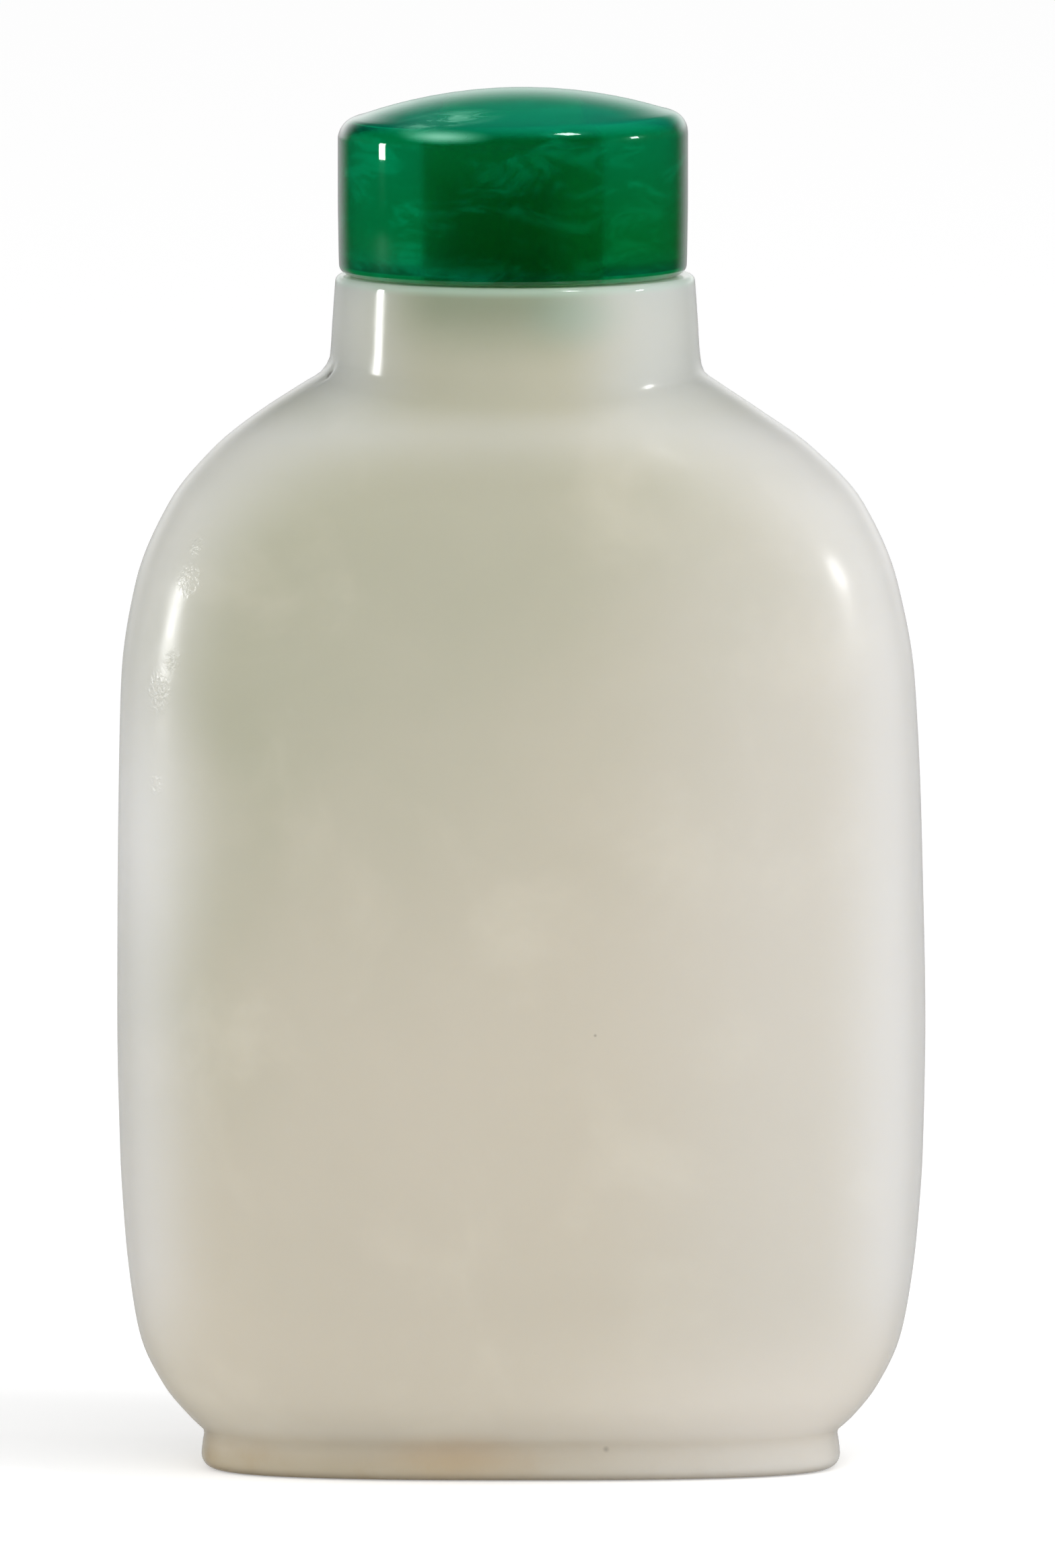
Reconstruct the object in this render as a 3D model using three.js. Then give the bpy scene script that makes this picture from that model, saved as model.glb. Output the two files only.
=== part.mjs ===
// A small flattened jade snuff bottle with a domed green glass stopper.
//
// Millimetres, +Z up. The origin lies in the middle of the foot, on the surface the bottle
// stands on. The broad faces look along -Y and +Y, the narrow sides along -X and +X.
import * as THREE from "three";

// ---- driving dimensions ----
const LIP_Z = 53.5; // plane of the lip
const LIP_ROUND = 0.3; // rounding of both edges of the lip
const BORE_RADIUS = 3.35; // mouth, drilled straight down the neck
const BORE_END_Z = 46.9; // where the bore opens into the hollow
const NECK_LEAN = -0.25; // the neck stands slightly to the left of the body

const FOOT_HALF = [14.3, 5.65]; // foot at its widest, half width and half depth
const FOOT_WAIST_Z = 1.5; // the foot draws in a trace under the body
const FOOT_WAIST_IN = 0.12;
const FOOT_EDGE = 0.6; // worn, rounded bottom edge
const FOOT_RING = 1.7; // width of the flat ring it stands on
const FOOT_RECESS = 0.7; // depth of the shallow oval recess inside the ring
const FOOT_SQUARENESS = 2.7;

const JUNCTION_Z = 48.9; // where neck and shoulder meet at the narrow sides
const JUNCTION_SAG = 0.8; // the same line lies this much lower on the broad faces

// Outside of the vessel from the foot to the lip: height, half width, half depth,
// squareness of the oval (2 is an ellipse) and how far the section leans to +X.
const OUTSIDE = [
  [1.75, 14.24, 5.6, 2.7, 0],
  [2.3, 14.84, 6.1, 2.6, 0.02],
  [3.7, 15.97, 7.35, 2.5, 0],
  [5.8, 16.98, 8.55, 2.4, 0],
  [7.6, 17.36, 9.2, 2.4, 0.01],
  [10.5, 17.72, 9.92, 2.35, 0.02],
  [14.4, 17.97, 10.45, 2.35, 0.03],
  [20, 18.06, 10.73, 2.35, 0.02],
  [28, 17.97, 10.7, 2.35, -0.02],
  [35.4, 17.7, 10.35, 2.35, -0.12],
  [39.7, 17.0, 9.97, 2.3, -0.19],
  [43.3, 15.47, 9.5, 2.25, -0.22],
  [45.8, 13.27, 9.05, 2.15, -0.35],
  [47.5, 11.0, 8.75, 2.05, -0.45],
  [48.6, 9.33, 8.52, 2, -0.42],
  [49.15, 8.54, 8.38, 2, -0.36],
  [49.8, 8.26, 8.26, 2, NECK_LEAN],
  [51.6, 8.13, 8.13, 2, NECK_LEAN],
  [LIP_Z - LIP_ROUND, 8.02, 8.02, 2, NECK_LEAN],
];

// Inside of the hollow from its floor to the bore, in the same columns.
const INSIDE = [
  [5, 7.2, 3.3, 2.2, 0],
  [5.6, 10.2, 4.7, 2.3, 0],
  [6.8, 12.4, 5.8, 2.35, 0],
  [9.5, 13.9, 6.75, 2.35, 0],
  [13.5, 14.6, 7.3, 2.35, 0],
  [20, 14.85, 7.6, 2.35, 0],
  [28, 14.75, 7.55, 2.35, 0],
  [35, 14.3, 7.25, 2.35, -0.1],
  [40, 13.05, 6.75, 2.3, -0.15],
  [43, 10.9, 6.1, 2.2, -0.2],
  [44.6, 8.5, 5.4, 2.1, NECK_LEAN],
  [45.7, 6.1, 4.6, 2, NECK_LEAN],
  [46.4, 4.3, 3.8, 2, NECK_LEAN],
  [BORE_END_Z, BORE_RADIUS, BORE_RADIUS, 2, NECK_LEAN],
];
const FLOOR_Z = 4.8; // floor of the hollow on the axis

const CAP_X = -0.35; // the stopper sits a touch off the neck's axis
const CAP_SEAT = 0.05; // clearance between cap and lip
const CAP_RADIUS = 7.8;
const CAP_BASE_RADIUS = 7.75; // at the bottom edge, a slight taper
const CAP_TOP_Z = 61.8;
const CAP_CROWN = 22; // radius of the low dome
const CAP_RIM_ROUND = 1; // rounding between wall and dome
const CAP_SLOPE = 0.021; // the crown is ground a little out of level, higher on the right
const CAP_SLOPE_FROM = 59.5; // height where that begins
const CAP_EDGE = 0.42; // rounding of the bottom edge
const SOCKET_RADIUS = 2.65; // blind hole drilled up into the cap for the cork
const SOCKET_TOP_Z = 59.4;

const CORK_SPIGOT = 2.6; // part glued into the cap
const CORK_TOP = 3.18; // part that fills the mouth
const CORK_TIP = 3.0;
const CORK_TIP_Z = 48.7;

const BOTTLE_SEGMENTS = 56;
const CAP_SEGMENTS = 48;
const CORK_SEGMENTS = 32;

const jade = () => new THREE.MeshStandardMaterial({ color: 0xcdc3b0, roughness: 0.32, metalness: 0 });
const glass = () => new THREE.MeshStandardMaterial({ color: 0x005c30, roughness: 0.08, metalness: 0 });
const cork = () => new THREE.MeshStandardMaterial({ color: 0x9a7448, roughness: 0.9, metalness: 0 });

// Smooth curve through one column of the stations that never swings past them.
function curveThrough(stations, column) {
  const z = stations.map((s) => s[0]);
  const v = stations.map((s) => s[column]);
  const chord = z.slice(1).map((top, i) => (v[i + 1] - v[i]) / (top - z[i]));
  const slope = v.map((_, i) => {
    const below = chord[Math.max(i - 1, 0)];
    const above = chord[Math.min(i, chord.length - 1)];
    return below * above <= 0 ? 0 : (2 * below * above) / (below + above);
  });
  return (height) => {
    const i = Math.min(Math.max(z.findIndex((top) => top >= height) - 1, 0), chord.length - 1);
    const span = z[i + 1] - z[i];
    const t = (height - z[i]) / span;
    const [t2, t3] = [t * t, t * t * t];
    return (
      (2 * t3 - 3 * t2 + 1) * v[i] + (t3 - 2 * t2 + t) * span * slope[i] +
      (3 * t2 - 2 * t3) * v[i + 1] + (t3 - t2) * span * slope[i + 1]
    );
  };
}

// A ring is one level of a form: [height, half width, half depth, squareness, lean].
const ring = (z, width, depth = width, squareness = 2, lean = 0) => [z, width, depth, squareness, lean];

// Levels of a stationed form at the given heights.
function levels(stations, heights) {
  const columns = [1, 2, 3, 4].map((column) => curveThrough(stations, column));
  return heights.map((z) => [z, ...columns.map((curve) => curve(z))]);
}

// Rounded edge: a quarter turn from one ring to another, as offsets along the width.
function roundedEdge([z0, w0, d0, n, lean], dz, dw, from, to, steps) {
  const arc = new THREE.EllipseCurve(0, 0, Math.abs(dw), Math.abs(dz), from, to, to < from);
  return arc.getPoints(steps).map((p) => ring(z0 + p.y, w0 + p.x, d0 + p.x, n, lean));
}

// How far a level sags on the broad faces: most at the neck's root, none at lip and belly.
function sagAt(z) {
  const away = (z - JUNCTION_Z) / (z > JUNCTION_Z ? 3 : 7);
  return JUNCTION_SAG * Math.max(0, 1 - away * away) ** 2;
}

const signedPower = (value, power) => Math.sign(value) * Math.abs(value) ** power;

// Turns a profile on the lathe, then presses every level of it into its own oval.
function turnAndPress(rings, segments, sag = () => 0) {
  const profile = rings.map(([z, width]) => new THREE.Vector2(width, z));
  const form = new THREE.LatheGeometry(profile, segments);
  const points = form.attributes.position;
  for (let i = 0; i <= segments; i++) {
    const angle = (2 * Math.PI * (i % segments)) / segments;
    const [across, forward] = [Math.sin(angle), Math.cos(angle)];
    rings.forEach(([z, width, depth, squareness, lean], j) => {
      const x = width * signedPower(across, 2 / squareness) + lean;
      const y = -depth * signedPower(forward, 2 / squareness);
      points.setXYZ(i * rings.length + j, x, y, z - sag(z) * forward * forward);
    });
  }
  form.computeVertexNormals();
  return form;
}

// Underside and side of the foot: recess, standing ring, worn edge and slight waist.
function footRings() {
  const [width, depth] = FOOT_HALF;
  const inner = FOOT_EDGE + FOOT_RING;
  const oval = (z, inset) => ring(z, width - inset, depth - inset, FOOT_SQUARENESS);
  const edge = roundedEdge(oval(FOOT_EDGE, FOOT_EDGE), FOOT_EDGE, FOOT_EDGE, -Math.PI / 2, 0, 3);
  return [
    ring(FOOT_RECESS, 0), oval(FOOT_RECESS, inner + 0.6), oval(FOOT_RECESS * 0.7, inner + 0.15),
    oval(0, inner), ...edge, oval(0.95, FOOT_WAIST_IN * 0.45), oval(FOOT_WAIST_Z, FOOT_WAIST_IN),
  ];
}

// The body and the neck, with levels closer together where the outline bends.
function outsideRings() {
  const belly = 20;
  const [root, top] = [OUTSIDE[0][0], LIP_Z - LIP_ROUND];
  const heights = [];
  for (let i = 0; i < 9; i++) heights.push(belly - (belly - root) * Math.cos(((i / 9) * Math.PI) / 2));
  for (let i = 0; i < 17; i++) heights.push(belly + (49.4 - belly) * Math.sin(((i / 17) * Math.PI) / 2));
  heights.push(49.15, 49.45, 49.8, 50.7, 51.9, top);
  return levels(OUTSIDE, heights);
}

// Over the lip and down the bore.
function mouthRings() {
  const outer = ring(LIP_Z - LIP_ROUND, 8.02 - LIP_ROUND, 8.02 - LIP_ROUND, 2, NECK_LEAN);
  const inner = ring(LIP_Z - LIP_ROUND, BORE_RADIUS + LIP_ROUND, BORE_RADIUS + LIP_ROUND, 2, NECK_LEAN);
  return [
    ...roundedEdge(outer, LIP_ROUND, LIP_ROUND, 0, Math.PI / 2, 2).slice(1),
    ...roundedEdge(inner, LIP_ROUND, LIP_ROUND, Math.PI / 2, Math.PI, 2),
    ring(50, BORE_RADIUS, BORE_RADIUS, 2, NECK_LEAN),
  ];
}

// The hollow from the end of the bore to its floor.
function insideRings() {
  const heights = [BORE_END_Z, 46.4, 45.7, 44.6, 43, 40.5, 36.5, 30, 22, 15, 10.5, 8, 6.5, 5.6, 5];
  return [...levels(INSIDE, heights), ring(FLOOR_Z, 0)];
}

function bottle() {
  const rings = [...footRings(), ...outsideRings(), ...mouthRings(), ...insideRings()];
  const mesh = new THREE.Mesh(turnAndPress(rings, BOTTLE_SEGMENTS, sagAt), jade());
  mesh.name = "bottle";
  return mesh;
}

const crownHeight = (r) => CAP_TOP_Z - CAP_CROWN + Math.sqrt(CAP_CROWN ** 2 - r ** 2);

// Green glass cap: drilled socket, flat seat, rounded foot edge, upright wall and low dome.
function stopperCap() {
  const seat = LIP_Z + CAP_SEAT;
  const rim = CAP_RADIUS - CAP_RIM_ROUND;
  const foot = ring(seat + CAP_EDGE, CAP_BASE_RADIUS - CAP_EDGE);
  const shoulder = ring(crownHeight(rim + 0.1) - CAP_RIM_ROUND, rim);
  const rings = [
    ring(SOCKET_TOP_Z, 0), ring(SOCKET_TOP_Z, SOCKET_RADIUS), ring(seat, SOCKET_RADIUS),
    ...roundedEdge(foot, CAP_EDGE, CAP_EDGE, -Math.PI / 2, 0, 3), ring(57, CAP_RADIUS),
    ...roundedEdge(shoulder, CAP_RIM_ROUND, CAP_RIM_ROUND, 0, Math.PI * 0.4, 5),
    ...[6.3, 5, 3.4, 1.7, 0].map((r) => ring(crownHeight(r), r)),
  ];
  const form = turnAndPress(rings, CAP_SEGMENTS);
  const points = form.attributes.position;
  for (let i = 0; i < points.count; i++) {
    const rise = points.getX(i) * CAP_SLOPE;
    if (points.getZ(i) > CAP_SLOPE_FROM) points.setZ(i, points.getZ(i) + rise);
  }
  form.computeVertexNormals();
  const mesh = new THREE.Mesh(form, glass());
  mesh.position.x = CAP_X;
  mesh.name = "stopper_cap";
  return mesh;
}

// Cork under the cap: a spigot in the socket and a tapered plug in the mouth.
function stopperCork() {
  const rings = [
    ring(CORK_TIP_Z, 0), ring(CORK_TIP_Z, CORK_TIP - 0.35), ring(CORK_TIP_Z + 0.35, CORK_TIP),
    ring(LIP_Z - 0.35, CORK_TOP), ring(LIP_Z - 0.05, CORK_TOP - 0.25), ring(LIP_Z - 0.05, CORK_SPIGOT),
    ring(SOCKET_TOP_Z - 0.1, CORK_SPIGOT), ring(SOCKET_TOP_Z - 0.1, 0),
  ];
  const mesh = new THREE.Mesh(turnAndPress(rings, CORK_SEGMENTS), cork());
  mesh.position.x = CAP_X;
  mesh.name = "stopper_cork";
  return mesh;
}

const snuffBottle = new THREE.Group();
snuffBottle.add(bottle(), stopperCap(), stopperCork());
export default snuffBottle;
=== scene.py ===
"""A flattened jade snuff bottle with a domed green glass stopper, laid out as an add-on."""
import math
from bisect import bisect_left

import bmesh
import bpy
from bpy.props import FloatProperty, FloatVectorProperty, IntProperty, PointerProperty
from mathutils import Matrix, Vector, noise


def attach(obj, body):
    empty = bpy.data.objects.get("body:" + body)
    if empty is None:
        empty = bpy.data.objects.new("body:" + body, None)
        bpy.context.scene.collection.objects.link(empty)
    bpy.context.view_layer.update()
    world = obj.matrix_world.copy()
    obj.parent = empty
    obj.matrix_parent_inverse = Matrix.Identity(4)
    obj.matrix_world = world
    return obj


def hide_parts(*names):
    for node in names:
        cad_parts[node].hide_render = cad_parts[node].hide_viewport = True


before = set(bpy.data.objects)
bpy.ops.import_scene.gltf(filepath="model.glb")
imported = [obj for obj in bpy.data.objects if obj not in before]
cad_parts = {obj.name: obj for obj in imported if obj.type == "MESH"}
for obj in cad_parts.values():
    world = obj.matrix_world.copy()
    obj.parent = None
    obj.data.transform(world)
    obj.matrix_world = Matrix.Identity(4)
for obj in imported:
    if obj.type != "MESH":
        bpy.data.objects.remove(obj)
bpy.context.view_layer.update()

bl_info = {
    "name": "Jade Snuff Bottle",
    "version": (1, 0, 0),
    "blender": (4, 5, 0),
    "location": "3D View > Sidebar > Snuff Bottle",
    "description": "Builds a small hollow jade bottle, its domed glass stopper and a plain studio",
    "category": "Add Mesh",
}

MM = 0.001
WHITE = (1, 1, 1, 1)

# Verts of a spun profile closer than this, in metres, are one.
MERGE_DISTANCE = 1e-8
SHARP_DEGREES = 50

# Directions round the arc of an edge, and the squareness of a round level.
DOWN, OUT, UP, INWARD = -math.pi / 2, 0, math.pi / 2, math.pi
ROUND = 2

# ---- the vessel, in millimetres ----
LIP_Z = 53.5
LIP_ROUND = 0.3
LIP_HALF = 8.02
LIP_STEPS = 6
LIP_INNER_RINGS = (6.6, 5.2)
MOUTH_STEPS = 5
BORE_RADIUS = 3.35
BORE_END_Z = 46.9
BORE_RINGS = (52, 50.5, 49, 47.8)
NECK_LEAN = -0.25
BELLY_Z = 20.0
BELLY_HALF_WIDTH = 18.06
BELLY_HALF_DEPTH = 10.73

# The shoulders sag at the root of the neck, on the broad faces alone.
JUNCTION_Z = 48.9
JUNCTION_SAG = 0.8
SAG_REACH_UP = 3
SAG_REACH_DOWN = 7

FOOT_HALF_WIDTH = 14.3
FOOT_HALF_DEPTH = 5.65
FOOT_WAIST_Z = 1.5
FOOT_WAIST_IN = 0.12
FOOT_EDGE = 0.6
FOOT_EDGE_STEPS = 9
FOOT_RING = 1.7
FOOT_RECESS = 0.7
FOOT_SQUARENESS = 2.7

# Under the foot, from the recess to the standing ring: height, and how far in past the ring.
FOOT_UNDER = (
    (FOOT_RECESS, 2.5),
    (FOOT_RECESS, 1.7),
    (FOOT_RECESS, 1.1),
    (FOOT_RECESS, 0.75),
    (FOOT_RECESS - 0.04, 0.55),
    (FOOT_RECESS * 0.75, 0.22),
    (0.12, 0.06),
    (0, -0.04),
    (0, -0.8),
)
# Up the foot's side: height, and how far in.
FOOT_SIDE = ((0.85, 0.02), (1.15, 0.06), (FOOT_WAIST_Z, FOOT_WAIST_IN), (1.64, 0.1))

# Height, half width, half depth, squareness of the oval (2 is an ellipse), lean to +X.
OUTSIDE = (
    (1.75, 14.24, 5.6, 2.7, 0),
    (2.3, 14.84, 6.1, 2.6, 0.02),
    (3.7, 15.97, 7.35, 2.5, 0),
    (5.8, 16.98, 8.55, 2.4, 0),
    (7.6, 17.36, 9.2, 2.4, 0.01),
    (10.5, 17.72, 9.92, 2.35, 0.02),
    (14.4, 17.97, 10.45, 2.35, 0.03),
    (BELLY_Z, BELLY_HALF_WIDTH, BELLY_HALF_DEPTH, 2.35, 0.02),
    (28, 17.97, 10.7, 2.35, -0.02),
    (35.4, 17.7, 10.35, 2.35, -0.12),
    (39.7, 17.0, 9.97, 2.3, -0.19),
    (43.3, 15.47, 9.5, 2.25, -0.22),
    (45.8, 13.27, 9.05, 2.15, -0.35),
    (47.5, 11.0, 8.75, 2.05, -0.45),
    (48.6, 9.33, 8.52, 2, -0.42),
    (49.15, 8.54, 8.38, 2, -0.36),
    (49.8, 8.26, 8.26, 2, NECK_LEAN),
    (51.6, 8.13, 8.13, 2, NECK_LEAN),
    (LIP_Z - LIP_ROUND, LIP_HALF, LIP_HALF, 2, NECK_LEAN),
)
INSIDE = (
    (5, 7.2, 3.3, 2.2, 0),
    (5.6, 10.2, 4.7, 2.3, 0),
    (6.8, 12.4, 5.8, 2.35, 0),
    (9.5, 13.9, 6.75, 2.35, 0),
    (13.5, 14.6, 7.3, 2.35, 0),
    (20, 14.85, 7.6, 2.35, 0),
    (28, 14.75, 7.55, 2.35, 0),
    (35, 14.3, 7.25, 2.35, -0.1),
    (40, 13.05, 6.75, 2.3, -0.15),
    (43, 10.9, 6.1, 2.2, -0.2),
    (44.6, 8.5, 5.4, 2.1, NECK_LEAN),
    (45.7, 6.1, 4.6, 2, NECK_LEAN),
    (46.4, 4.3, 3.8, 2, NECK_LEAN),
    (BORE_END_Z, BORE_RADIUS, BORE_RADIUS, 2, NECK_LEAN),
)
INNER_FLOOR = (
    (4.9, 5, 2.3, 2.1, 0),
    (4.83, 2.6, 1.2, 2, 0),
    (4.8, 0, 0, 2, 0),
)

# Spacing of the rings along the outside and the inside, and steps that measure an outline.
OUTSIDE_STEP = 0.38
INSIDE_STEP = 0.9
FINE_STEPS = 4000

# The hand-cut undulation fades out towards the foot and the lip.
RIPPLE_LENGTH = 7.5
RIPPLE_FROM_Z = 2
RIPPLE_FADE = 3

# A dark grain at the left root of the neck, in a small dent.
NECK_GRAIN = (-8.55, -2.1, 49.25)
NECK_DENT_RADIUS = 0.45
NECK_DENT_DEPTH = 0.1

# Dark grains in the stone: place, radius and how dark.
GRAINS = (
    (NECK_GRAIN, 0.34, 0.9),
    ((3.8, -5.5, 1.45), 0.2, 0.35),
    ((3.3, -10.7, 20.6), 0.12, 0.9),
)

# Places on the left flank that kept fine pits, and how far they reach.
PITTED = (
    ((-14.5, -5.6, 40.3), 1.1),
    ((-14.4, -5.4, 41.9), 0.7),
    ((-15.3, -5.7, 36.8), 0.8),
    ((-16.1, -5.2, 35.3), 1.3),
    ((-16.1, -5.3, 31.2), 0.8),
)

# ---- the stopper, in millimetres ----
SOCKET_RADIUS = 2.65
SOCKET_TOP_Z = 59.4
SOCKET_CORNER = 0.05
SOCKET_CEILING_RINGS = (0, 1.4, 2.3)
SOCKET_RINGS = (59.1, 57.8, 56.5, 55.2, 54.2, 53.75)

CAP_X = -0.35
CAP_SEAT = 0.05
CAP_RADIUS = 7.8
CAP_BASE_RADIUS = 7.75
CAP_TOP_Z = 61.8
CAP_CROWN = 22
CAP_RIM_ROUND = 1.0
CAP_RIM_LIFT = 0.1
CAP_RIM_TURN = math.pi * 0.4
CAP_RIM_STEPS = 14
CAP_SLOPE = 0.021
CAP_SLOPE_FROM_Z = 59.45
CAP_SLOPE_RISE = 0.5
CAP_FLARE = 3
CAP_EDGE = 0.42
CAP_EDGE_STEPS = 9
CAP_AROUND = 160
CAP_SEAT_RINGS = (SOCKET_RADIUS + 0.15, 4.0, 5.6)
CAP_WALL_FROM = 0.8
CAP_WALL_STEP = 0.5
CAP_WALL_RINGS = 10
CAP_CROWN_RINGS = (6.8, 6.2, 5.5, 4.8, 4, 3.2, 2.4, 1.6, 0.8, 0)

GLUE = 0.02
CORK_SPIGOT = SOCKET_RADIUS + GLUE
CORK_TOP = 3.18
CORK_CHAMFER = 0.22
CORK_SHOULDER = 0.05
CORK_TIP = 3.0
CORK_TIP_Z = 48.7
CORK_TAPER = 4.5
# Height above the tip and radius, round the tip's edge.
CORK_TIP_RINGS = ((0, 0), (0, 1.2), (0, 2.1), (0.05, CORK_TIP - 0.3), (0.3, CORK_TIP - 0.03))
CORK_PLUG_RINGS = (49.6, 50.4, 51.2, 52, 52.7)
CORK_SPIGOT_RINGS = (54.2, 55.2, 56.4, 57.7, 58.9)
# Depth below the top and radius, round the spigot's end.
CORK_END_RINGS = ((0.06, CORK_SPIGOT), (0, CORK_SPIGOT - 0.05), (0, 1.2), (0, 0))
CORK_AROUND = 96
CORK_GRAIN = 0.04
CORK_GRAIN_LENGTH = 1.1

# ---- local tones, linear colours that the settings' own turn into in places ----
RIGHT_LIGHT_TONE = (0.66, 0.67, 0.69)
EDGE_SHEEN_TONE = (0.775, 0.78, 0.79)
LEFT_SHEEN_TONE = (0.86, 0.85, 0.84)
HEEL_TONE = (0.84, 0.79, 0.73)
THROAT_TONE = (0.60, 0.62, 0.605)
MOUTH_SHADE_TONE = (0.22, 0.265, 0.18)
MINT_TONE = (0.30, 0.46, 0.42)
LIP_TONE = (0.46, 0.68, 0.52)
FOOT_STAIN_SHADE_TONE = (0.42, 0.335, 0.21)
STREAK_TONE = (0.50, 0.30, 0.12)
CONTACT_SHADE_TONE = (0.22, 0.18, 0.13)
GRAIN_TONE = (0.07, 0.05, 0.03)
CROWN_REFLECTION_TONE = (0.36, 0.88, 0.64)
BARK_TONE = (0.42, 0.28, 0.15)
PORE_TONE = (0.06, 0.03, 0.015)
SPIGOT_TONE = (0.42, 0.28, 0.04)
CORK_LIGHT_TONE = (0.95, 0.85, 0.35)

# How far light goes in the stone for red, green and blue, in millimetres.
STONE_DEPTH = (5.0, 4.7, 4.2)
STONE_IOR = 1.55
# Kept below 0.27 all over, because the render's denoiser leaves hard-edged flecks where gloss
# crosses that roughness.
STONE_ROUGHNESS = (0.19, 0.265)
STONE_RELIEF = 0.00001
GLASS_IOR = 1.5
GLASS_CLARITY = 0.98
GLASS_DENSITY = 330.0
CORK_RELIEF = 0.0002

# ---- the studio, in metres unless a name says otherwise ----
FLOOR_HALF = 6
FLOOR_GAP = 0.00003
FLOOR_GLOW = 0.1
FLOOR_GLOW_SEEN = 0.37
BACKDROP_SEEN = 1.05
CAMERA_TARGET = Vector((0.0003, 0, 0.03067))
SENSOR_WIDTH_MM = 36
CLIP_NEAR, CLIP_FAR = 0.05, 20
LIGHT_AIM = Vector((0, 0, 0.035))

# Azimuth, elevation, distance, width, height and radiance of each lamp, and whether gloss
# shows it. All but the distance and the radiance are angles in degrees, as soft_box says.
LAMPS = {
    "strip_left": (-95, 7.6, 0.276, 6, 13, 18, True),
    "box_right": (88.5, 16.5, 0.41, 6.5, 6.5, 16, True),
    "side_right": (62, 26, 1.0, 31, 27, 1.2, False),
    "key_top": (54, 60, 0.5, 8.5, 12, 18, True),
}


# ---- sizes and colours a user would change ----
def length(name, description, default):
    """A size in metres, given in millimetres."""
    return FloatProperty(name=name, description=description, default=default * MM, min=0.0,
                         subtype="DISTANCE", unit="LENGTH", precision=5)


def tint(name, description, default):
    """A linear colour."""
    return FloatVectorProperty(name=name, description=description, default=default, size=3,
                               min=0.0, max=1.0, subtype="COLOR")


class SnuffVesselSettings(bpy.types.PropertyGroup):
    """Sizes and colours of the jade vessel."""

    half_width: length("Half width", "Half the width of the body at the belly", BELLY_HALF_WIDTH)
    half_depth: length("Half depth", "Half the depth of the body at the belly", BELLY_HALF_DEPTH)
    ripple: length("Hand polish", "Height of the slow undulation left by hand polishing", 0.035)
    around: IntProperty(name="Steps round", description="Faces round the oval", default=240, min=24)
    green: tint("Greenish jade", "The cooler, greener part of the stone", (0.465, 0.462, 0.362))
    warm: tint("Warm jade", "The warmer, beige part of the stone", (0.595, 0.552, 0.465))
    pale: tint("Pale jade", "Cloudy, paler patches", (0.72, 0.68, 0.58))
    stain: tint("Stain", "Iron stain in the foot", (0.40, 0.24, 0.09))


class SnuffStopperSettings(bpy.types.PropertyGroup):
    """Sizes and colours of the stopper."""

    radius: length("Cap radius", "Radius of the cap", CAP_RADIUS)
    glass: tint("Glass", "Tint of the glass at its surface", (0.0, 0.62, 0.36))
    haze: tint("Haze", "Tint of its lighter clouds", (0.0, 0.92, 0.52))
    deep: tint("Deep glass", "Tint where it is darkest, low down and to the right", (0.0, 0.40, 0.055))
    cloud: tint("Cloud", "Milky glass under the crown", (0.01, 0.52, 0.31))
    absorb: tint("Depth tint", "Colour left after light has crossed the glass", (0.0, 0.72, 0.58))
    cork: tint("Cork", "Colour of the cork", (0.62, 0.45, 0.05))


class SnuffStageSettings(bpy.types.PropertyGroup):
    """Camera, floor and light."""

    distance: length("Distance", "From the camera to what it looks at", 1000)
    elevation: FloatProperty(name="Elevation", description="Camera's angle above the floor",
                             default=math.radians(6), subtype="ANGLE", unit="ROTATION")
    lens: FloatProperty(name="Lens", description="Focal length in millimetres", default=514.2)
    front: FloatProperty(name="Front light", description="Soft light from in front", default=1.56)
    back: FloatProperty(name="Back light", description="Soft light from behind", default=0.45)
    zenith: FloatProperty(name="Overhead share", description="Share of it left overhead", default=0.6)
    mirrored: FloatProperty(name="Mirrored share", description="Share of it that gloss shows",
                            default=0.02)
    through: FloatProperty(name="Seen through", description="Front light seen through glass",
                           default=0.4)
    floor: tint("Floor", "Colour of the floor", (0.9, 0.9, 0.9))


# ---- forms ----
def curve_through(stations, column):
    """Smooth curve through one column of the stations that never swings past them."""
    z = [s[0] for s in stations]
    v = [s[column] for s in stations]
    chord = [(v[i + 1] - v[i]) / (z[i + 1] - z[i]) for i in range(len(z) - 1)]
    slope = []
    for i in range(len(z)):
        below, above = chord[max(i - 1, 0)], chord[min(i, len(chord) - 1)]
        slope.append(0 if below * above <= 0 else 2 * below * above / (below + above))

    def value(height):
        """The column's value at a height."""
        i = max(0, min(len(chord) - 1, bisect_left(z, height) - 1))
        span = z[i + 1] - z[i]
        t = (height - z[i]) / span
        a, b = 2 * t**3 - 3 * t**2 + 1, t**3 - 2 * t**2 + t
        return a * v[i] + b * span * slope[i] + (1 - a) * v[i + 1] + (t**3 - t**2) * span * slope[i + 1]

    return value


def levels(stations, low, high, step):
    """Rings of a stationed form, evenly spaced along its outline from low to high."""
    curves = [curve_through(stations, column) for column in (1, 2, 3, 4)]
    fine = [low + (high - low) * i / FINE_STEPS for i in range(FINE_STEPS + 1)]
    travel = [0.0]
    for a, b in zip(fine, fine[1:]):
        travel.append(travel[-1] + math.hypot(b - a, curves[0](b) - curves[0](a)))
    count = max(2, round(travel[-1] / step))
    rings, k = [], 0
    for i in range(count + 1):
        while k < FINE_STEPS and travel[k] < travel[-1] * i / count - 1e-9:
            k += 1
        rings.append((fine[k], *[curve(fine[k]) for curve in curves]))
    return rings


def circle(z, radius, lean):
    """A round level."""
    return (z, radius, radius, ROUND, lean)


def arc(centre, radius, start, end, steps):
    """Rings along a rounded edge, whose centres make up a level themselves."""
    z, width, depth, squareness, lean = centre
    turn = [start + (end - start) * i / steps for i in range(steps + 1)]
    return [(z + radius * math.sin(a), width + radius * math.cos(a),
             depth + radius * math.cos(a), squareness, lean) for a in turn]


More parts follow.
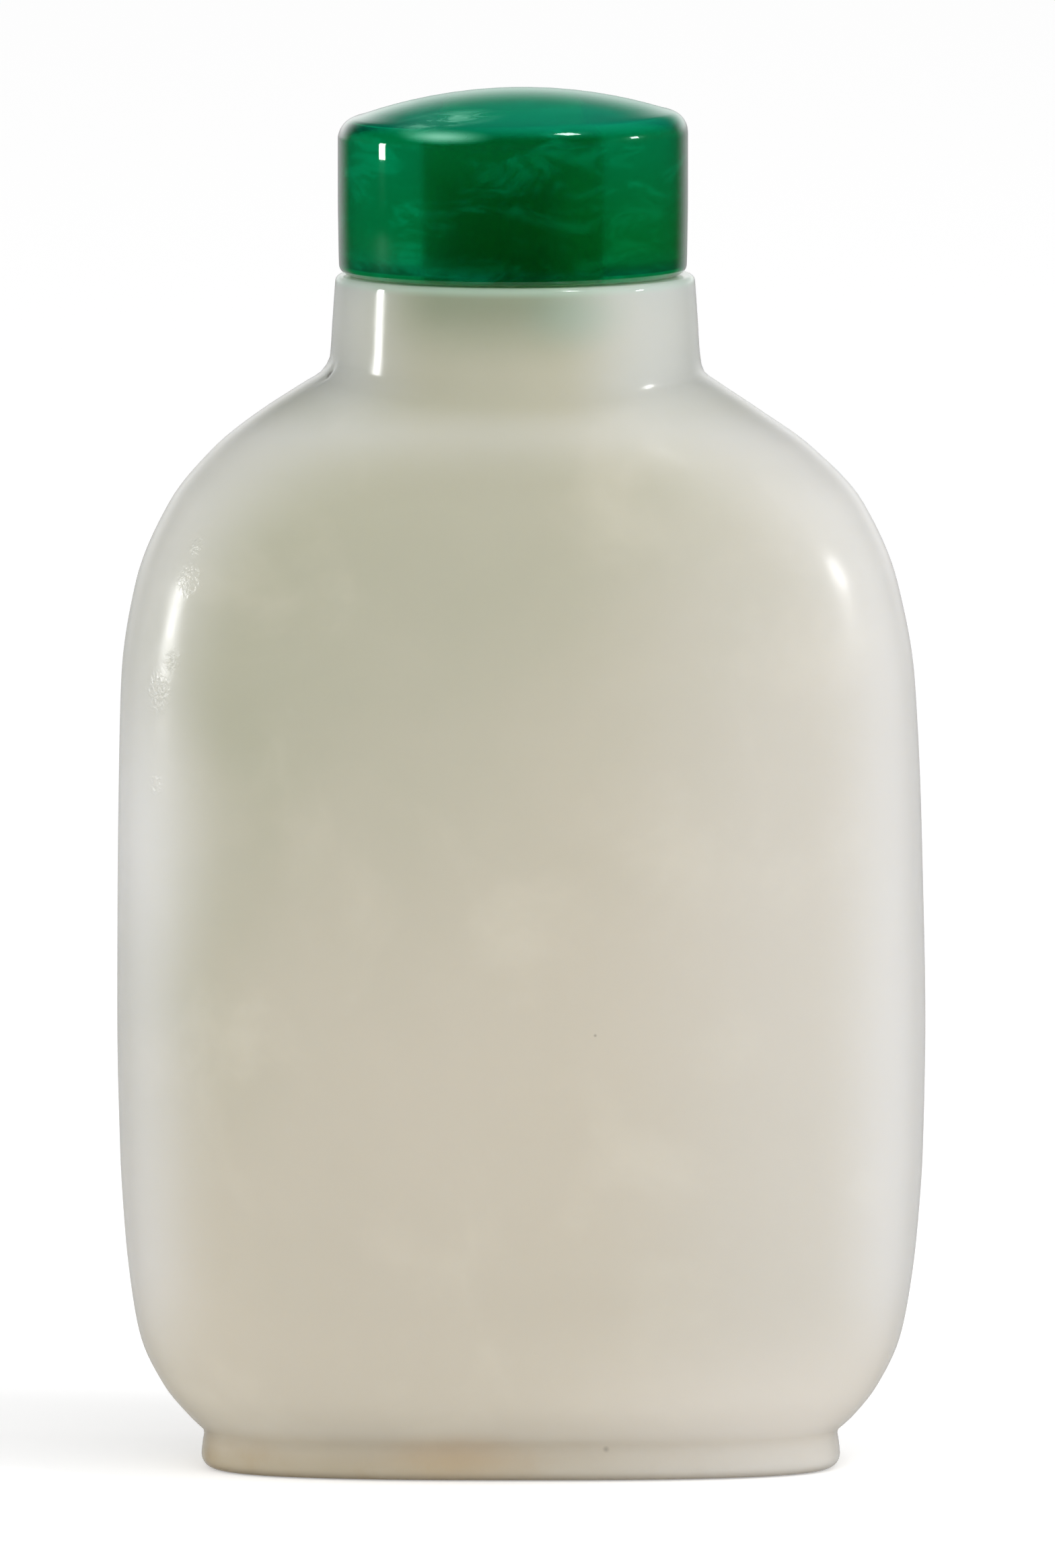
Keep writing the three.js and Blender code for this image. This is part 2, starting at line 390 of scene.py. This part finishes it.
def sag_at(z):
    """How far a level sags on the broad faces: most at the root of the neck."""
    away = (z - JUNCTION_Z) / (SAG_REACH_UP if z > JUNCTION_Z else SAG_REACH_DOWN)
    return JUNCTION_SAG * max(0.0, 1 - away * away) ** 2


def signed_power(value, power):
    """A power that keeps the sign."""
    return math.copysign(abs(value) ** power, value)


def settle_order(bm):
    """Puts edges and faces in the same order each run, which a weld doesn't."""
    bm.verts.index_update()
    for parts in (bm.edges, bm.faces):
        ordered = sorted(parts, key=lambda part: sorted(vert.index for vert in part.verts))
        for i, part in enumerate(ordered):
            part.index = i
        parts.sort()


def turn_and_press(rings, steps, sag=lambda z: 0.0):
    """Spins a profile round the upright axis, then presses each level into its own oval."""
    bm = bmesh.new()
    level = bm.verts.layers.int.new("level")
    line = []
    for i, (z, width, *_rest) in enumerate(rings):
        vert = bm.verts.new((width * MM, 0, z * MM))
        vert[level] = i
        line.append(vert)
    edges = [bm.edges.new(pair) for pair in zip(line, line[1:])]
    bmesh.ops.spin(bm, geom=line + edges, cent=(0, 0, 0), axis=(0, 0, 1), dvec=(0, 0, 0),
                   angle=math.tau, steps=steps, use_merge=True, use_duplicate=False)
    bmesh.ops.remove_doubles(bm, verts=bm.verts, dist=MERGE_DISTANCE)
    for vert in bm.verts:
        z, width, depth, squareness, lean = rings[vert[level]]
        angle = math.atan2(vert.co.y, vert.co.x)
        across, forward = math.cos(angle), math.sin(angle)
        if width == 0:
            vert.co = (lean * MM, 0, z * MM)
            continue
        power = 2 / squareness
        vert.co = ((width * signed_power(across, power) + lean) * MM,
                   depth * signed_power(forward, power) * MM,
                   (z - sag(z) * forward * forward) * MM)
    settle_order(bm)
    bmesh.ops.recalc_face_normals(bm, faces=bm.faces)
    return bm


def ripple(bm, height, size, seed, keep=lambda co: 1.0):
    """Moves the skin in and out by a slow noise."""
    bm.normal_update()
    shift = Vector((seed * 7.3, seed * 3.1, seed * 5.7))
    moves = [v.normal * (noise.noise(v.co / size + shift) * height * keep(v.co)) for v in bm.verts]
    for vert, move in zip(bm.verts, moves):
        vert.co += move


def dent(bm, place, radius, depth):
    """Presses a small round pit into the skin."""
    bm.normal_update()
    for vert in bm.verts:
        away = (vert.co - place).length / radius
        if away < 1:
            vert.co -= vert.normal * depth * (1 - away * away) ** 2


def finish_mesh(bm, name, material, node):
    """Makes the object, smooth-shaded, and lets it stand for its CAD node."""
    mesh = bpy.data.meshes.new(name)
    bm.to_mesh(mesh)
    bm.free()
    mesh.shade_smooth()
    mesh.set_sharp_from_angle(angle=math.radians(SHARP_DEGREES))
    mesh.materials.append(material)
    piece = bpy.data.objects.new(name, mesh)
    bpy.context.scene.collection.objects.link(piece)
    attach(piece, "root")
    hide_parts(node)


# ---- node helpers ----
class Nodes:
    """Short hand for building a node tree."""

    def __init__(self, tree):
        self.tree = tree

    def add(self, kind, **settings):
        """A new node with its settings."""
        node = self.tree.nodes.new(kind)
        for key, value in settings.items():
            setattr(node, key, value)
        return node

    def link(self, a, b):
        """Joins an output to an input."""
        self.tree.links.new(a, b)

    def feed(self, node, **inputs):
        """Links or sets a node's inputs, by name, or by number as i0, i1 and i2."""
        for key, value in inputs.items():
            socket = node.inputs[int(key[1]) if key in ("i0", "i1", "i2") else key]
            if isinstance(value, bpy.types.NodeSocket):
                self.link(value, socket)
            else:
                socket.default_value = value
        return node

    def between(self, value, low, high, out_low=0.0, out_high=1.0):
        """A smooth step from out_low to out_high as the value goes from low to high."""
        node = self.add("ShaderNodeMapRange", interpolation_type="SMOOTHSTEP")
        self.feed(node, **{"Value": value, "From Min": low, "From Max": high,
                           "To Min": out_low, "To Max": out_high})
        return node.outputs["Result"]

    def math(self, how, a, b=0.0, clamp=False):
        """One operation on one or two values."""
        node = self.add("ShaderNodeMath", operation=how, use_clamp=clamp)
        self.feed(node, i0=a, i1=b)
        return node.outputs["Value"]

    def plus(self, a, b, clamp=False):
        """The sum of two values."""
        return self.math("ADD", a, b, clamp)

    def times(self, first, *others):
        """The product of the values."""
        for other in others:
            first = self.math("MULTIPLY", first, other)
        return first


class Finish(Nodes):
    """A material with its shader, laid out on the object's own millimetres."""

    def __init__(self, name):
        self.material = bpy.data.materials.new(name)
        self.material.use_nodes = True
        super().__init__(self.material.node_tree)
        self.tree.nodes.clear()
        self.out = self.add("ShaderNodeOutputMaterial")
        self.shader = self.add("ShaderNodeBsdfPrincipled")
        self.link(self.shader.outputs["BSDF"], self.out.inputs["Surface"])
        coords = self.add("ShaderNodeTexCoord")
        mapping = self.feed(self.add("ShaderNodeMapping"), Vector=coords.outputs["Object"],
                            Scale=(1 / MM, 1 / MM, 1 / MM))
        self.mm = mapping.outputs["Vector"]

    def noise(self, scale, detail=3.0, rough=0.5, warp=0.0, shift=(0, 0, 0), stretch=(1, 1, 1)):
        """Fractal noise; scale is in waves per millimetre."""
        place = self.feed(self.add("ShaderNodeMapping"), Vector=self.mm, Location=shift, Scale=stretch)
        node = self.feed(self.add("ShaderNodeTexNoise"), Vector=place.outputs["Vector"], Scale=scale,
                         Detail=detail, Roughness=rough, Distortion=warp)
        return node.outputs["Fac"]

    def axis(self, name):
        """The place along X, Y or Z, in millimetres."""
        return self.feed(self.add("ShaderNodeSeparateXYZ"), Vector=self.mm).outputs[name]

    def spot(self, centre, radius, squash=(1, 1, 1)):
        """1 at a place on the object, falling to 0 at radius, in millimetres."""
        away = self.feed(self.add("ShaderNodeVectorMath", operation="SUBTRACT"), i0=self.mm, i1=centre)
        away = self.feed(self.add("ShaderNodeVectorMath", operation="MULTIPLY"),
                         i0=away.outputs["Vector"], i1=squash)
        far = self.feed(self.add("ShaderNodeVectorMath", operation="LENGTH"), i0=away.outputs["Vector"])
        return self.between(far.outputs["Value"], radius, 0.0)

    def mix(self, factor, a, b, most=1.0):
        """Colour a where the factor is 0, and this much of b, at most, where it is 1."""
        node = self.add("ShaderNodeMix", data_type="RGBA")
        share = factor if most == 1.0 else self.times(factor, most)
        a, b = (c if isinstance(c, bpy.types.NodeSocket) else (*c, 1.0) for c in (a, b))
        return self.feed(node, Factor=share, A=a, B=b).outputs["Result"]

    def bump(self, height, distance, strength):
        """Fine relief in the shading of the surface; distance is in metres."""
        node = self.feed(self.add("ShaderNodeBump"), Height=height, Distance=distance,
                         Strength=strength)
        self.link(node.outputs["Normal"], self.shader.inputs["Normal"])


def set_shader(shader, **values):
    """Sets constants on the shader's own sockets; an underscore stands for a space."""
    for key, value in values.items():
        shader.inputs[key.replace("_", " ")].default_value = value


# ---- finishes ----
def jade_colour(n, settings):
    """Cloudy stone, greener high up and warmer low down, with stains and dark grains, and painted light
    and shade: paler to the right and on the edges, darker at the mouth and the foot.
    """
    x, z = n.axis("X"), n.axis("Z")
    drift = n.noise(0.055, 3, 0.55, 0.6)
    slope = n.plus(n.times(z, 0.030), n.times(x, -0.028))
    cool = n.between(n.plus(slope, n.times(drift, 1.1)), 0.9, 2.3)
    colour = n.mix(cool, settings.warm, settings.green)
    cloud = n.between(n.noise(0.12, 4, 0.55, 0.3, (31, 7, 3)), 0.5, 0.75, 0.0, 0.3)
    colour = n.mix(cloud, colour, settings.pale)
    # paler and greyer towards the right, partly the stone's own milkier tone and partly a painted light
    # from the right side; paler and cooler on the narrow sides
    colour = n.mix(n.between(x, 1.0, 14.0, 0.0, 0.28), colour, RIGHT_LIGHT_TONE)
    # the paler narrow sides, and the pale patch on the left side, are a painted sheen: a painted
    # reflection of the white surroundings and painted light through the thin walls
    off_axis = n.math("ABSOLUTE", n.plus(x, 0.1))
    outward = n.math("POWER", n.math("DIVIDE", off_axis, BELLY_HALF_WIDTH), 3)
    upward = n.math("DIVIDE", n.math("SUBTRACT", z, 30), 20.5, clamp=True)
    reach = n.plus(outward, n.math("POWER", upward, 3))
    flank = n.times(n.between(reach, 0.35, 0.85), n.between(z, 2, 10), n.between(z, 48.5, 46.5))
    colour = n.mix(flank, colour, EDGE_SHEEN_TONE, 0.5)
    colour = n.mix(n.spot((-17.5, -3.0, 29.0), 9.0), colour, LEFT_SHEEN_TONE, 0.45)
    # paler where it meets the foot on the right, and cooler on both sides of the neck
    heel = n.times(n.between(z, 9, 2), n.between(x, -6, 12))
    colour = n.mix(heel, colour, HEEL_TONE, 0.4)
    throat = n.between(n.math("ABSOLUTE", n.plus(x, 1.2)), 2.5, 7.5)
    colour = n.mix(n.times(throat, n.between(z, 45.5, 49.5)), colour, THROAT_TONE, 0.7)
    # darker and greener in front of the mouth, where the stopper stands in it: a painted shade, tinted
    # by the stopper's green light
    near = n.between(n.math("ABSOLUTE", n.plus(x, 1.4)), 5.8, 2.0)
    colour = n.mix(n.times(n.between(z, 49.5, 53.4), near), colour, MOUTH_SHADE_TONE, 0.78)
    # green light from the glass in the lip, and in a patch below it on the right
    mint = n.spot((2.6, -7.6, 52.3), 3.4, (1.0, 1.0, 1.6))
    colour = n.mix(mint, colour, MINT_TONE, 0.3)
    colour = n.mix(n.between(z, 53.0, 53.45, 0.0, 0.45), colour, LIP_TONE)
    # browner low in the foot, partly an iron stain and partly a painted shade that darkens it towards
    # the left
    low = n.between(z, 2.4, 0.4)
    left = n.between(x, 13, -10, 0.12, 0.6)
    colour = n.mix(n.times(low, left), colour, FOOT_STAIN_SHADE_TONE)
    patch = n.times(low, n.between(n.noise(0.35, 4, 0.6, 0.4), 0.45, 0.75, 0.0, 0.3))
    colour = n.mix(n.times(patch, left), colour, settings.stain)
    streak = n.spot((-2.8, -5.6, 1.0), 2.6, (0.55, 0.4, 1.6))
    colour = n.mix(streak, colour, STREAK_TONE, 0.3)
    # darker along the very bottom edge: a painted contact shadow
    colour = n.mix(n.between(z, 0.45, 0.1, 0.0, 0.25), colour, CONTACT_SHADE_TONE)
    for place, size, depth in GRAINS:
        colour = n.mix(n.spot(place, size), colour, GRAIN_TONE, depth)
    return colour


def jade_polish(n):
    """Roughness: a soft polish, brighter on the neck, the right side and the lip."""
    x, z = n.axis("X"), n.axis("Z")
    rough = n.between(n.noise(0.4, 4, 0.6), 0.35, 0.7, *STONE_ROUGHNESS)
    rough = n.times(rough, n.between(z, 45, 48, 1.0, 0.6), n.between(x, 8, 12, 1.0, 0.85),
                    n.between(z, 53.0, 53.25, 1.0, 0.35))
    # a duller patch at the right root of the neck
    return n.plus(rough, n.times(n.spot((5.4, -6.2, 48.9), 1.8), 0.04))


def jade(settings):
    """Polished pale nephrite, waxy, with fine pits left in the polish of the left flank."""
    n = Finish("jade")
    n.link(jade_colour(n, settings), n.shader.inputs["Base Color"])
    n.link(jade_polish(n), n.shader.inputs["Roughness"])
    set_shader(n.shader, IOR=STONE_IOR, Subsurface_Weight=1.0, Subsurface_Radius=STONE_DEPTH,
               Subsurface_Scale=MM)
    spots = [n.spot(place, size) for place, size in PITTED]
    pitted = spots[0]
    for spot in spots[1:]:
        pitted = n.math("MAXIMUM", pitted, spot)
    pits = n.times(pitted, n.between(n.noise(3.5, 3, 0.6), 0.35, 0.65, 0.0, 6.0))
    n.bump(n.plus(n.noise(0.7, 1, 0.4), pits), STONE_RELIEF, 0.35)
    return n.material


def green_glass(settings):
    """Green glass, cloudy in depth and milkier under the crown, with a clear polish, a painted shade
    low down and a painted reflection near the crown's front edge.
    """
    n = Finish("green_glass")
    x, z = n.axis("X"), n.axis("Z")
    haze = n.between(n.noise(0.30, 6, 0.68, 0.8, (3, 9, 1), (1, 1, 2.6)), 0.48, 0.66)
    colour = n.mix(haze, settings.glass, settings.haze, 0.7)
    # deeper in colour low down and towards the right, a painted shade
    low = n.times(n.between(z, 60.6, 54.8, 0.1, 1.0), n.between(z, 53.8, 54.4))
    colour = n.mix(n.times(low, n.between(x, -5.8, -1.0)), colour, settings.deep, 0.75)
    # milkier under the crown, most of all in two streaks near its front edge, whose pale colour is a
    # painted reflection
    crown = n.between(z, 60.0, 60.8)
    colour = n.mix(crown, colour, settings.cloud)
    streak = n.spot((-3.5, -6.85, 60.15), 2.7, (1.0, 1.0, 7.0))
    band = n.spot((-3.6, -5.5, 60.8), 3.4, (1.0, 2.2, 4.0))
    feather = n.between(n.noise(0.55, 5, 0.65, 1.2, (2, 5, 8), (0.5, 1.4, 2.0)), 0.42, 0.6, 0.1, 1.0)
    pale = n.plus(streak, n.times(band, feather), clamp=True)
    colour = n.mix(pale, colour, CROWN_REFLECTION_TONE, 0.9)
    n.link(colour, n.shader.inputs["Base Color"])
    milk = n.plus(n.plus(n.times(crown, 0.36), n.times(pale, 0.5)), n.times(haze, 0.05))
    n.link(n.math("SUBTRACT", GLASS_CLARITY, milk, clamp=True), n.shader.inputs["Transmission Weight"])
    # clearer high up on the left
    clear = n.times(n.between(x, -4.2, -5.6), n.between(z, 54.9, 56.5))
    n.link(n.between(clear, 0.0, 1.0, 0.2, 0.05), n.shader.inputs["Roughness"])
    set_shader(n.shader, IOR=GLASS_IOR, Specular_IOR_Level=0.0, Coat_Roughness=0.01,
               Coat_IOR=GLASS_IOR, Specular_Tint=(*settings.cloud, 1))
    n.link(n.between(z, 60.4, 61.2, 1.0, 0.5), n.shader.inputs["Coat Weight"])
    absorb = n.feed(n.add("ShaderNodeVolumeAbsorption"), Color=(*settings.absorb, 1),
                    Density=GLASS_DENSITY)
    n.link(absorb.outputs["Volume"], n.out.inputs["Volume"])
    return n.material


def cork_bark(settings):
    """Raw cork with dark pores; the spigot is smoother, and paler at its top and towards its sides, a
    painted light.
    """
    n = Finish("cork")
    x, z = n.axis("X"), n.axis("Z")
    grain = n.noise(1.3, 5, 0.65)
    glued = n.between(z, LIP_Z - 0.2, LIP_Z + 0.4)
    plug = n.mix(n.between(grain, 0.35, 0.65), settings.cork, BARK_TONE)
    pores = n.between(n.noise(0.9, 3, 0.5, 0.3, (5, 5, 5)), 0.62, 0.7)
    plug = n.mix(pores, plug, PORE_TONE)
    spigot = n.mix(n.between(grain, 0.3, 0.7, 0.0, 0.25), settings.cork, SPIGOT_TONE)
    # paler at its top and towards its sides: a painted light that softens the edges of the dark core
    # seen through the glass
    off_axis = n.math("ABSOLUTE", n.math("SUBTRACT", x, CAP_X - 0.5))
    soaked = n.math("MAXIMUM", n.between(z, 57.0, SOCKET_TOP_Z), n.between(off_axis, 1.2, 3.0))
    spigot = n.mix(soaked, spigot, CORK_LIGHT_TONE, 0.8)
    n.link(n.mix(glued, plug, spigot), n.shader.inputs["Base Color"])
    set_shader(n.shader, Roughness=0.85)
    n.bump(grain, CORK_RELIEF, 0.6)
    return n.material


# ---- pieces ----
def vessel_rings():
    """The closed profile of the vessel, from under the foot over the lip to the inner floor."""
    def foot(z, inset):
        """A level of the foot, this far in from its edge."""
        return (z, FOOT_HALF_WIDTH - inset, FOOT_HALF_DEPTH - inset, FOOT_SQUARENESS, 0)

    inner = FOOT_EDGE + FOOT_RING
    under = [circle(FOOT_RECESS, 0, 0)] + [foot(z, inner + inset) for z, inset in FOOT_UNDER]
    edge = arc(foot(FOOT_EDGE, FOOT_EDGE), FOOT_EDGE, DOWN, OUT, FOOT_EDGE_STEPS)
    side = [foot(z, inset) for z, inset in FOOT_SIDE]
    body = levels(OUTSIDE, OUTSIDE[0][0], LIP_Z - LIP_ROUND, OUTSIDE_STEP)
    lip = arc(circle(LIP_Z - LIP_ROUND, LIP_HALF - LIP_ROUND, NECK_LEAN), LIP_ROUND,
              OUT, UP, LIP_STEPS)[1:]
    flat = [circle(LIP_Z, radius, NECK_LEAN) for radius in LIP_INNER_RINGS]
    mouth = arc(circle(LIP_Z - LIP_ROUND, BORE_RADIUS + LIP_ROUND, NECK_LEAN), LIP_ROUND,
                UP, INWARD, MOUTH_STEPS)
    bore = [circle(z, BORE_RADIUS, NECK_LEAN) for z in BORE_RINGS]
    hollow = levels(INSIDE, INSIDE[0][0], BORE_END_Z, INSIDE_STEP)[::-1]
    return [*under, *edge, *side, *body, *lip, *flat, *mouth, *bore, *hollow, *INNER_FLOOR]


class SNUFF_OT_vessel(bpy.types.Operator):
    """Turns, presses and polishes the hollow jade vessel"""

    bl_idname = "snuff.vessel"
    bl_label = "Jade vessel"

    def execute(self, context):
        settings = context.scene.snuff_vessel
        wide = settings.half_width / (BELLY_HALF_WIDTH * MM)
        deep = settings.half_depth / (BELLY_HALF_DEPTH * MM)
        rings = [(z, w * wide, d * deep, n, lean) for z, w, d, n, lean in vessel_rings()]
        bm = turn_and_press(rings, settings.around, sag_at)

        def skin(co):
            """How much of the undulation there is at a place."""
            level = co.z / MM
            above_foot = max(0.0, min(1.0, (level - RIPPLE_FROM_Z) / RIPPLE_FADE))
            below_lip = max(0.0, min(1.0, (LIP_Z - level) / RIPPLE_FADE))
            return above_foot * below_lip

        ripple(bm, settings.ripple, RIPPLE_LENGTH * MM, seed=1, keep=skin)
        dent(bm, Vector(NECK_GRAIN) * MM, NECK_DENT_RADIUS * MM, NECK_DENT_DEPTH * MM)
        finish_mesh(bm, "jade_vessel", jade(settings), "bottle")
        return {"FINISHED"}


class SNUFF_OT_cap(bpy.types.Operator):
    """Makes the domed green glass cap with its drilled socket"""

    bl_idname = "snuff.cap"
    bl_label = "Stopper cap"

    def execute(self, context):
        settings = context.scene.snuff_stopper
        radius = settings.radius / MM
        base = radius - (CAP_RADIUS - CAP_BASE_RADIUS)
        seat, rim = LIP_Z + CAP_SEAT, radius - CAP_RIM_ROUND

        def crown(r):
            """Height of the dome at this distance from its axis."""
            return CAP_TOP_Z - CAP_CROWN + math.sqrt(CAP_CROWN**2 - r**2)

        corner = SOCKET_RADIUS - SOCKET_CORNER
        rings = [circle(SOCKET_TOP_Z, r, CAP_X) for r in SOCKET_CEILING_RINGS]
        rings += [circle(SOCKET_TOP_Z - SOCKET_CORNER, corner, CAP_X)]
        rings += [circle(z, SOCKET_RADIUS, CAP_X) for z in SOCKET_RINGS]
        rings += [circle(seat, r, CAP_X) for r in CAP_SEAT_RINGS]
        rings += arc(circle(seat + CAP_EDGE, base - CAP_EDGE, CAP_X), CAP_EDGE,
                     DOWN, OUT, CAP_EDGE_STEPS)
        for i in range(CAP_WALL_RINGS):
            up = CAP_WALL_FROM + CAP_WALL_STEP * i
            wall = base + (radius - base) * min(1, up / CAP_FLARE)
            rings.append(circle(seat + up, wall, CAP_X))
        rings += arc(circle(crown(rim + CAP_RIM_LIFT) - CAP_RIM_ROUND, rim, CAP_X), CAP_RIM_ROUND,
                     OUT, CAP_RIM_TURN, CAP_RIM_STEPS)
        rings += [circle(crown(r), r, CAP_X) for r in CAP_CROWN_RINGS]
        bm = turn_and_press(rings, CAP_AROUND)
        for vert in bm.verts:
            share = max(0.0, min(1.0, (vert.co.z / MM - CAP_SLOPE_FROM_Z) / CAP_SLOPE_RISE))
            vert.co.z += (vert.co.x - CAP_X * MM) * CAP_SLOPE * share
        finish_mesh(bm, "stopper_cap_glass", green_glass(settings), "stopper_cap")
        return {"FINISHED"}


class SNUFF_OT_cork(bpy.types.Operator):
    """Makes the cork plug with its spigot"""

    bl_idname = "snuff.cork"
    bl_label = "Cork plug"

    def execute(self, context):
        settings = context.scene.snuff_stopper
        top = SOCKET_TOP_Z + GLUE
        shoulder = LIP_Z - CORK_SHOULDER
        outline = [(CORK_TIP_Z + up, r) for up, r in CORK_TIP_RINGS]
        outline += [(z, CORK_TIP + (CORK_TOP - CORK_TIP) * (z - CORK_TIP_Z) / CORK_TAPER)
                    for z in CORK_PLUG_RINGS]
        outline += [(LIP_Z - LIP_ROUND, CORK_TOP), (shoulder, CORK_TOP - CORK_CHAMFER)]
        outline += [(z, CORK_SPIGOT) for z in (shoulder, *CORK_SPIGOT_RINGS)]
        outline += [(top - down, r) for down, r in CORK_END_RINGS]
        bm = turn_and_press([circle(z, r, CAP_X) for z, r in outline], CORK_AROUND)
        ripple(bm, CORK_GRAIN * MM, CORK_GRAIN_LENGTH * MM, seed=4,
               keep=lambda co: 1.0 if co.z < shoulder * MM else 0.0)
        finish_mesh(bm, "stopper_cork_plug", cork_bark(settings), "stopper_cork")
        return {"FINISHED"}


# ---- stage ----
def soft_box(name, azimuth, elevation, distance, wide, tall, radiance, in_gloss):
    """A rectangular light aimed at the bottle.

    Azimuth is counted from the camera's side, positive to the right; it and the elevation,
    width and height are angles in degrees, as the bottle sees them.
    """
    turn, rise = math.radians(azimuth), math.radians(elevation)
    toward = Vector((math.sin(turn) * math.cos(rise), -math.cos(turn) * math.cos(rise), math.sin(rise)))
    light = bpy.data.lights.new(name, "AREA")
    light.shape = "RECTANGLE"
    light.size = 2 * distance * math.tan(math.radians(wide) / 2)
    light.size_y = 2 * distance * math.tan(math.radians(tall) / 2)
    light.energy = radiance * math.pi * light.size * light.size_y
    lamp = bpy.data.objects.new(name, light)
    lamp.location = LIGHT_AIM + toward * distance
    lamp.rotation_euler = (-toward).to_track_quat("-Z", "Y").to_euler()
    lamp.visible_camera = lamp.visible_transmission = False
    lamp.visible_glossy = in_gloss
    bpy.context.scene.collection.objects.link(lamp)


def ray_share(n, first, second, how, low, high):
    """A number that is high for the rays that two outputs together pick, and low for the rest."""
    path = n.add("ShaderNodeLightPath")
    picked = n.math(how, path.outputs[first], path.outputs[second])
    return n.between(picked, 0.0, 1.0, low, high)


def studio_world(settings):
    """White where it is seen, a soft tent as light, dark in gloss but for the backdrop."""
    world = bpy.data.worlds.new("studio")
    world.use_nodes = True
    n = Nodes(world.node_tree)
    n.tree.nodes.clear()
    coords = n.add("ShaderNodeTexCoord")
    direction = n.feed(n.add("ShaderNodeSeparateXYZ"), Vector=coords.outputs["Generated"])
    path = n.add("ShaderNodeLightPath")

    def white(strength):
        """White surroundings of this strength."""
        return n.feed(n.add("ShaderNodeBackground"), Color=WHITE, Strength=strength).outputs[0]

    def ramps(*steps):
        """The product of smooth steps over the direction looked in."""
        return n.times(*[n.between(direction.outputs[axis], *step) for axis, *step in steps])

    def choose(share, otherwise, chosen):
        """One surrounding for the rays that the share picks, another for the rest."""
        node = n.feed(n.add("ShaderNodeMixShader"), i0=share, i1=otherwise, i2=chosen)
        return node.outputs[0]

    through = white(ramps(("Y", -0.1, 0.36, settings.through, 1.05),
                          ("Y", 0.36, 0.72, 1.9, 1.0),
                          ("Z", 0.3, 0.8, 1.0, 0.5)))
    tent = white(ramps(("Y", -0.35, 0.3, settings.front, settings.back),
                       ("Z", 0.1, 0.7, 1.0, settings.zenith)))
    gloss = white(ramps(("Y", 0.72, 0.97, settings.mirrored, 1.0),
                        ("Z", -0.08, 0.1, 0.4, 1.0),
                        ("Z", 0.1, 0.45, 1.0, 0.03)))
    glossy = ray_share(n, "Is Reflection Ray", "Is Glossy Ray", "MULTIPLY", 0.0, 1.0)
    around = choose(glossy, tent, gloss)
    around = choose(path.outputs["Is Transmission Ray"], around, through)
    around = choose(path.outputs["Is Camera Ray"], around, white(BACKDROP_SEEN))
    n.link(around, n.add("ShaderNodeOutputWorld").inputs["Surface"])
    world.cycles.sampling_method = "NONE"
    bpy.context.scene.world = world


def floor_finish(settings):
    """Plain pale floor, lit a little past white."""
    material = bpy.data.materials.new("studio_floor")
    material.use_nodes = True
    n = Nodes(material.node_tree)
    shader = n.tree.nodes["Principled BSDF"]
    set_shader(shader, Base_Color=(*settings.floor, 1), Roughness=0.9, Specular_IOR_Level=0.0,
               Emission_Color=WHITE)
    glow = ray_share(n, "Is Camera Ray", "Is Transmission Ray", "MAXIMUM", FLOOR_GLOW, FLOOR_GLOW_SEEN)
    n.link(glow, shader.inputs["Emission Strength"])
    return material


class SNUFF_OT_stage(bpy.types.Operator):
    """Sets the pale floor, the soft studio light and the camera"""

    bl_idname = "snuff.stage"
    bl_label = "Studio"

    def execute(self, context):
        scene, settings = context.scene, context.scene.snuff_stage
        bm = bmesh.new()
        bmesh.ops.create_grid(bm, x_segments=1, y_segments=1, size=FLOOR_HALF)
        bmesh.ops.translate(bm, verts=bm.verts, vec=(0, 0, -FLOOR_GAP))
        mesh = bpy.data.meshes.new("studio_floor")
        bm.to_mesh(mesh)
        bm.free()
        mesh.materials.append(floor_finish(settings))
        floor = bpy.data.objects.new("studio_floor", mesh)
        floor.visible_glossy = False
        scene.collection.objects.link(floor)
        studio_world(settings)
        for name, lamp in LAMPS.items():
            soft_box(name, *lamp)
        tilt = settings.elevation
        back = Vector((0, -math.cos(tilt), math.sin(tilt)))
        data = bpy.data.cameras.new("camera")
        data.lens = settings.lens
        data.sensor_width = SENSOR_WIDTH_MM
        data.clip_start, data.clip_end = CLIP_NEAR, CLIP_FAR
        camera = bpy.data.objects.new("camera", data)
        camera.location = CAMERA_TARGET + back * settings.distance
        camera.rotation_euler = (math.pi / 2 - tilt, 0, 0)
        scene.collection.objects.link(camera)
        scene.camera = camera
        scene.view_settings.view_transform = "Standard"
        scene.view_settings.look = "None"
        return {"FINISHED"}


class SNUFF_PT_panel(bpy.types.Panel):
    """Lists the sizes, colours and pieces"""

    bl_label = "Snuff Bottle"
    bl_idname = "SNUFF_PT_panel"
    bl_space_type = "VIEW_3D"
    bl_region_type = "UI"
    bl_category = "Snuff Bottle"

    def draw(self, context):
        for owner in SETTINGS:
            settings = getattr(context.scene, owner)
            box = self.layout.box()
            for key in settings.__annotations__:
                box.prop(settings, key)
        for operator in OPERATORS:
            self.layout.operator(operator.bl_idname)


SETTINGS = {
    "snuff_vessel": SnuffVesselSettings,
    "snuff_stopper": SnuffStopperSettings,
    "snuff_stage": SnuffStageSettings,
}
OPERATORS = (SNUFF_OT_vessel, SNUFF_OT_cap, SNUFF_OT_cork, SNUFF_OT_stage)


def register():
    """Adds the settings, the operators and the panel."""
    for owner, group in SETTINGS.items():
        bpy.utils.register_class(group)
        setattr(bpy.types.Scene, owner, PointerProperty(type=group))
    for item in (*OPERATORS, SNUFF_PT_panel):
        bpy.utils.register_class(item)


def unregister():
    """Takes them away again."""
    for item in (SNUFF_PT_panel, *reversed(OPERATORS)):
        bpy.utils.unregister_class(item)
    for owner, group in SETTINGS.items():
        delattr(bpy.types.Scene, owner)
        bpy.utils.unregister_class(group)


def main():
    """Builds the bottle, its stopper and the studio."""
    register()
    bpy.ops.snuff.vessel()
    bpy.ops.snuff.cap()
    bpy.ops.snuff.cork()
    bpy.ops.snuff.stage()


if __name__ == "__main__":
    main()
